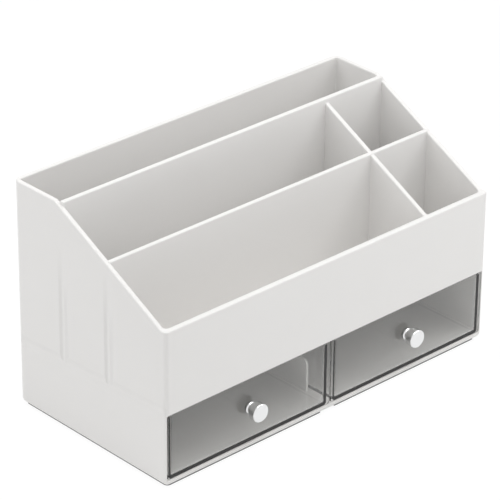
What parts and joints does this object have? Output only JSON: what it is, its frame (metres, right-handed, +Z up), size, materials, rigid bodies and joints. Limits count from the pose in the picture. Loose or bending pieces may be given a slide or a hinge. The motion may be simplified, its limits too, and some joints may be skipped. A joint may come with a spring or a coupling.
{
  "type": "makeup organizer",
  "caption": "Desktop organizer with open compartments behind a sloping rim, above clear drawers with round knobs.",
  "frame": {"origin": "on the table surface, under the middle of the whole object's box, knobs included", "axes": "+X to the object's right, -Y is the front with the drawers, +Z up"},
  "size_m": [0.34, 0.1838, 0.1945],
  "materials": {
    "body_plastic": "glossy warm white moulding",
    "clear_plastic": "clear, slightly smoky, polished",
    "knob_chrome": "polished chrome plating",
    "screw_steel": "zinc-plated steel",
    "foot_rubber": "matt dark grey non-slip rubber"
  },
  "bodies": {
    "body": {"body_shell": "body_plastic", "foot_strip_left": "foot_rubber", "foot_strip_right": "foot_rubber"},
    "left_drawer": {"drawer_left": "clear_plastic", "knob_left": "knob_chrome", "knob_screw_left": "screw_steel"},
    "right_drawer": {"drawer_right": "clear_plastic", "knob_right": "knob_chrome", "knob_screw_right": "screw_steel"}
  },
  "joints": [
    {"name": "drawer_left_slide", "type": "slide", "parent": "body", "child": "left_drawer", "axis": [0, -1, 0], "range_m": [0, 0.13]},
    {"name": "drawer_right_slide", "type": "slide", "parent": "body", "child": "right_drawer", "axis": [0, -1, 0], "range_m": [0, 0.13]}
  ]
}
